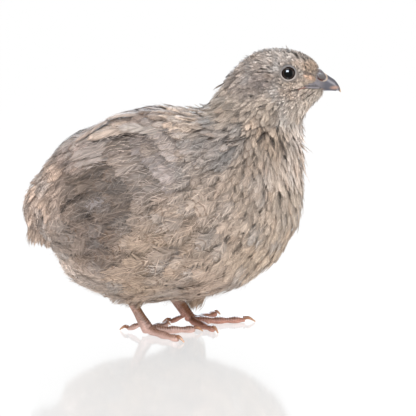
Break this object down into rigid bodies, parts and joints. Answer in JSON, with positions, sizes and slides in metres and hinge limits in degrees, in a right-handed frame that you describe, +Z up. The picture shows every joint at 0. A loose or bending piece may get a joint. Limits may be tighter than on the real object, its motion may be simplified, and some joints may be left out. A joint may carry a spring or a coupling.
{
  "type": "coturnix quail",
  "caption": "Life-size standing quail with its head up: a round feathered body, small folded wings, a short drooping tail, a small hooked bill and bare toes.",
  "frame": {"origin": "on the floor under the middle of the bird's bounding box", "axes": "+X the way the bird faces, +Y its left, +Z up"},
  "size_m": [0.1521, 0.0817, 0.137],
  "materials": {
    "plumage": "soft mottled body feathers",
    "wing_feathers": "smoother grey flight and tail feathers",
    "bill_horn": "satin slate-grey horn",
    "leg_skin": "scaled pink skin",
    "claw_horn": "satin brown horn",
    "eye": "wet near-black"
  },
  "bodies": {
    "root": {"torso": "plumage", "neck": "plumage", "head": "plumage", "thigh_left": "plumage", "thigh_right": "plumage", "tail": "wing_feathers", "wing_left": "wing_feathers", "wing_right": "wing_feathers", "bill_upper": "bill_horn", "bill_lower": "bill_horn", "eye_left": "eye", "eye_right": "eye", "shank_left": "leg_skin", "shank_right": "leg_skin", "toe_left_back": "leg_skin", "toe_left_inner": "leg_skin", "toe_left_middle": "leg_skin", "toe_left_outer": "leg_skin", "toe_right_back": "leg_skin", "toe_right_inner": "leg_skin", "toe_right_middle": "leg_skin", "toe_right_outer": "leg_skin", "claw_left_back": "claw_horn", "claw_left_inner": "claw_horn", "claw_left_middle": "claw_horn", "claw_left_outer": "claw_horn", "claw_right_back": "claw_horn", "claw_right_inner": "claw_horn", "claw_right_middle": "claw_horn", "claw_right_outer": "claw_horn"}
  },
  "joints": []
}
